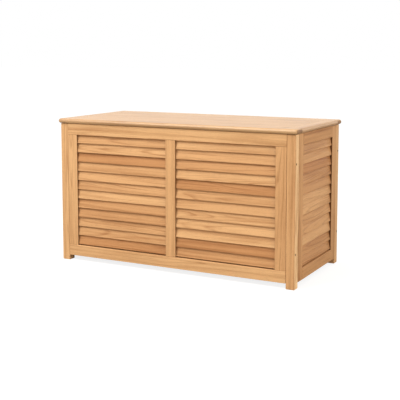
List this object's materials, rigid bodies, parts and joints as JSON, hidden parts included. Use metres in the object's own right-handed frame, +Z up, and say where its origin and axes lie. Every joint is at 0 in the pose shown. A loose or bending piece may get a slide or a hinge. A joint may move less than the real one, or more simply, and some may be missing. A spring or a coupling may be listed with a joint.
{
  "type": "deck storage box",
  "caption": "Teak deck storage box on four posts, with louvred frames on all sides, a slatted floor and a hinged bullnosed lid held by a slotted stay.",
  "frame": {"origin": "on the ground under the middle of the box", "axes": "+Z up, front of the box towards -Y, long side along X, left end towards -X"},
  "size_m": [1.22, 0.575, 0.685],
  "materials": {
    "teak_frame": "sanded, oiled light teak, straight grain",
    "teak_louvre": "sanded, oiled light teak, tone differs from louvre to louvre",
    "teak_lid": "sanded light teak, paler on top",
    "stainless": "satin stainless steel",
    "bolt_steel": "dark plated steel"
  },
  "bodies": {
    "box": {"post_front_left": "teak_frame", "post_front_right": "teak_frame", "post_rear_left": "teak_frame", "post_rear_right": "teak_frame", "front_top_rail": "teak_frame", "front_bottom_rail": "teak_frame", "front_stile_left": "teak_frame", "front_stile_right": "teak_frame", "front_mullion": "teak_frame", "rear_top_rail": "teak_frame", "rear_bottom_rail": "teak_frame", "rear_stile_left": "teak_frame", "rear_stile_right": "teak_frame", "rear_mullion": "teak_frame", "left_top_rail": "teak_frame", "left_bottom_rail": "teak_frame", "left_stile_front": "teak_frame", "left_stile_rear": "teak_frame", "right_top_rail": "teak_frame", "right_bottom_rail": "teak_frame", "right_stile_front": "teak_frame", "right_stile_rear": "teak_frame", "front_louvres_left": "teak_louvre", "front_louvres_right": "teak_louvre", "rear_louvres_left": "teak_louvre", "rear_louvres_right": "teak_louvre", "left_louvres": "teak_louvre", "right_louvres": "teak_louvre", "floor_bearer_left": "teak_frame", "floor_bearer_middle": "teak_frame", "floor_bearer_right": "teak_frame", "floor_slat_1": "teak_frame", "floor_slat_2": "teak_frame", "floor_slat_3": "teak_frame", "floor_slat_4": "teak_frame", "hinge_left_frame_leaf": "stainless", "hinge_left_pin": "stainless", "hinge_right_frame_leaf": "stainless", "hinge_right_pin": "stainless", "bolt_front_left_lower": "bolt_steel", "bolt_front_left_upper": "bolt_steel", "bolt_front_right_lower": "bolt_steel", "bolt_front_right_upper": "bolt_steel", "bolt_rear_left_lower": "bolt_steel", "bolt_rear_left_upper": "bolt_steel", "bolt_rear_right_lower": "bolt_steel", "bolt_rear_right_upper": "bolt_steel", "stay_stud": "stainless"},
    "lid": {"lid_rail_front": "teak_lid", "lid_rail_rear": "teak_lid", "lid_rail_left": "teak_lid", "lid_rail_right": "teak_lid", "lid_plank_1": "teak_lid", "lid_plank_2": "teak_lid", "lid_plank_3": "teak_lid", "lid_plank_4": "teak_lid", "hinge_left_lid_leaf": "stainless", "hinge_right_lid_leaf": "stainless", "stay_bracket": "stainless"},
    "stay": {"stay_arm": "stainless"}
  },
  "joints": [
    {"name": "lid_hinge", "type": "hinge", "parent": "box", "child": "lid", "pos_m": [0, 0.2826, 0.6596], "axis": [-1, 0, 0], "range_deg": [0, 95]},
    {"name": "stay_pivot", "type": "hinge", "parent": "lid", "child": "stay", "pos_m": [0.5682, 0.08271, 0.6531], "axis": [-1, 0, 0], "range_deg": [-47.5, 0]}
  ],
  "couplings": [
    {"joint": "stay_pivot", "follows": "lid_hinge", "ratio": -0.5}
  ]
}
